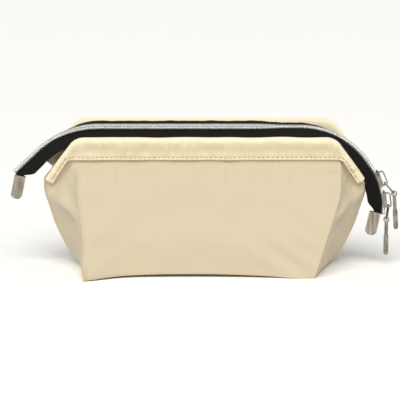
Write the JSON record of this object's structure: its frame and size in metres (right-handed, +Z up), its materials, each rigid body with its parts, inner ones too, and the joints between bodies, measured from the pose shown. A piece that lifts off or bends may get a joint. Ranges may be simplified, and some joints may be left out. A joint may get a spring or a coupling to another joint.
{
  "type": "wire-frame zip pouch",
  "caption": "Cream nylon travel pouch with a black-taped silver coil zip that runs down both ends, wire-framed mouth that opens wide, gusseted sides, and two zip sliders with bar pulls hanging at the right end.",
  "frame": {"origin": "middle of the flat base, on the surface it stands on", "axes": "+X along the mouth towards the zip sliders' end, +Y to the back, +Z up"},
  "size_m": [0.2642, 0.09, 0.1001],
  "materials": {
    "lining_cloth": "woven polyester taffeta",
    "shell_cloth": "matte woven nylon",
    "thread": "spun polyester",
    "spring_wire": "drawn steel wire",
    "wire_caps": "translucent white",
    "zip_coil": "metallised silver coil",
    "zip_tape": "woven black tape",
    "clip_metal": "nickel plated sheet",
    "pull_metal": "nickel plated die casting"
  },
  "bodies": {
    "pouch_body": {"bottom_lining": "lining_cloth", "bottom_panel": "shell_cloth", "front_lining": "lining_cloth", "front_panel": "shell_cloth", "left_end_clip": "clip_metal", "left_lining": "lining_cloth", "left_side_panel": "shell_cloth", "rear_lining": "lining_cloth", "rear_panel": "shell_cloth", "right_end_clip": "clip_metal", "right_lining": "lining_cloth", "right_side_panel": "shell_cloth"},
    "front_frame": {"front_casing_stitching": "thread", "front_frame_wire": "spring_wire", "front_wire_casing": "shell_cloth", "front_wire_end_caps": "wire_caps", "front_zip_coil": "zip_coil", "front_zip_tape": "zip_tape"},
    "rear_frame": {"rear_casing_stitching": "thread", "rear_frame_wire": "spring_wire", "rear_wire_casing": "shell_cloth", "rear_wire_end_caps": "wire_caps", "rear_zip_coil": "zip_coil", "rear_zip_tape": "zip_tape"},
    "slider_1": {"slider_1_body": "pull_metal"},
    "slider_1_loop": {"slider_1_link": "pull_metal"},
    "slider_1_pull": {"slider_1_bar": "pull_metal"},
    "slider_2": {"slider_2_body": "pull_metal"},
    "slider_2_loop": {"slider_2_link": "pull_metal"},
    "slider_2_pull": {"slider_2_bar": "pull_metal"}
  },
  "joints": [
    {"name": "front_frame_hinge", "type": "hinge", "parent": "pouch_body", "child": "front_frame", "pos_m": [0, -0.0034, 0.056], "axis": [1, 0, 0], "range_deg": [0, 60], "deforming": ["front_panel", "front_lining", "left_side_panel", "right_side_panel", "left_lining", "right_lining", "front_zip_tape", "front_zip_coil"]},
    {"name": "rear_frame_hinge", "type": "hinge", "parent": "pouch_body", "child": "rear_frame", "pos_m": [0, 0.0034, 0.066], "axis": [-1, 0, 0], "range_deg": [0, 60], "deforming": ["rear_panel", "rear_lining", "rear_zip_tape", "rear_zip_coil"]},
    {"name": "slider_1_travel", "type": "hinge", "parent": "pouch_body", "child": "slider_1", "pos_m": [0.064, 0, 0.0375], "axis": [0, 1, 0], "range_deg": [-68, 0]},
    {"name": "slider_2_travel", "type": "hinge", "parent": "pouch_body", "child": "slider_2", "pos_m": [0.064, 0, 0.0375], "axis": [0, 1, 0], "range_deg": [-3, 0]},
    {"name": "slider_1_loop_swing", "type": "hinge", "parent": "slider_1", "child": "slider_1_loop", "pos_m": [0.1222, 0, 0.0567], "axis": [0, -1, 0], "range_deg": [0, 75]},
    {"name": "slider_1_pull_swing", "type": "hinge", "parent": "slider_1_loop", "child": "slider_1_pull", "pos_m": [0.12889, 0, 0.049], "axis": [0, -1, 0], "range_deg": [0, 75]},
    {"name": "slider_2_loop_swing", "type": "hinge", "parent": "slider_2", "child": "slider_2_loop", "pos_m": [0.12516, 0, 0.04141], "axis": [-1, 0, 0], "range_deg": [-15, 0]},
    {"name": "slider_2_pull_swing", "type": "hinge", "parent": "slider_2_loop", "child": "slider_2_pull", "pos_m": [0.12376, -0.00177, 0.03146], "axis": [0.0242, -0.9848, 0.172], "range_deg": [-20, 25]}
  ]
}
